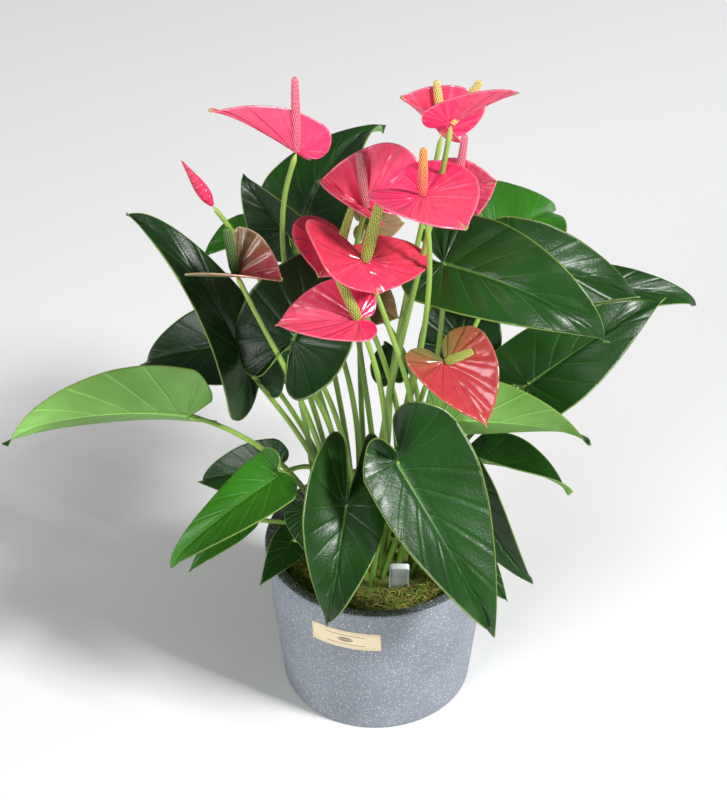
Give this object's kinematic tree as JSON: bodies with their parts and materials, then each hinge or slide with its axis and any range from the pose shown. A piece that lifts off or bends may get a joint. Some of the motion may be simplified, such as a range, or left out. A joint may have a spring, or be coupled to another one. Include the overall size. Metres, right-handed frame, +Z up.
{
  "type": "potted anthurium",
  "caption": "Anthurium with glossy heart-shaped leaves and red flowers on slender stalks, in a plastic nursery pot inside a round stone-look cover pot.",
  "frame": {"origin": "middle of the cover pot's flat base, on the surface that it stands on", "axes": "+Z up along the pot's axis, -Y towards the front, where the label and the plant tag are, +X to the right seen from the front"},
  "size_m": [0.5608, 0.3352, 0.5915],
  "materials": {
    "stone_pot": "matt blue-grey with fine pale specks",
    "black_plastic": "satin",
    "potting_mix": "coarse and dry",
    "moss": "fibrous",
    "label_paper": "matt",
    "tag_plastic": "satin",
    "leaf_green": "waxy gloss on the upper side, duller and paler beneath",
    "spathe_red": "high gloss with raised veins",
    "stalk_green": "satin"
  },
  "bodies": {
    "root": {"cover_pot": "stone_pot", "nursery_pot": "black_plastic", "potting_mix": "potting_mix", "moss": "moss", "label": "label_paper", "plant_tag": "tag_plastic", "leaf_01": "leaf_green", "leaf_02": "leaf_green", "leaf_03": "leaf_green", "leaf_04": "leaf_green", "leaf_05": "leaf_green", "leaf_06": "leaf_green", "leaf_07": "leaf_green", "leaf_08": "leaf_green", "leaf_09": "leaf_green", "leaf_10": "leaf_green", "leaf_11": "leaf_green", "leaf_12": "leaf_green", "leaf_13": "leaf_green", "leaf_14": "leaf_green", "leaf_15": "leaf_green", "leaf_16": "leaf_green", "leaf_17": "leaf_green", "leaf_18": "leaf_green", "leaf_19": "leaf_green", "leaf_20": "leaf_green", "leaf_21": "leaf_green", "leaf_22": "leaf_green", "leaf_23": "leaf_green", "leaf_24": "leaf_green", "leaf_25": "leaf_green", "leaf_26": "leaf_green", "spathe_01": "spathe_red", "spathe_02": "spathe_red", "spathe_03": "spathe_red", "spathe_04": "spathe_red", "spathe_05": "spathe_red", "spathe_06": "spathe_red", "spathe_07": "spathe_red", "spathe_08": "spathe_red", "spathe_09": "spathe_red", "spathe_10": "spathe_red", "spathe_11": "spathe_red", "spathe_12": "spathe_red", "spathe_13": "spathe_red", "flower_stalk_01": "stalk_green", "flower_stalk_02": "stalk_green", "flower_stalk_03": "stalk_green", "flower_stalk_04": "stalk_green", "flower_stalk_05": "stalk_green", "flower_stalk_06": "stalk_green", "flower_stalk_07": "stalk_green", "flower_stalk_08": "stalk_green", "flower_stalk_09": "stalk_green", "flower_stalk_10": "stalk_green", "flower_stalk_11": "stalk_green", "flower_stalk_12": "stalk_green", "flower_stalk_13": "stalk_green", "flower_bud": "spathe_red"}
  },
  "joints": []
}
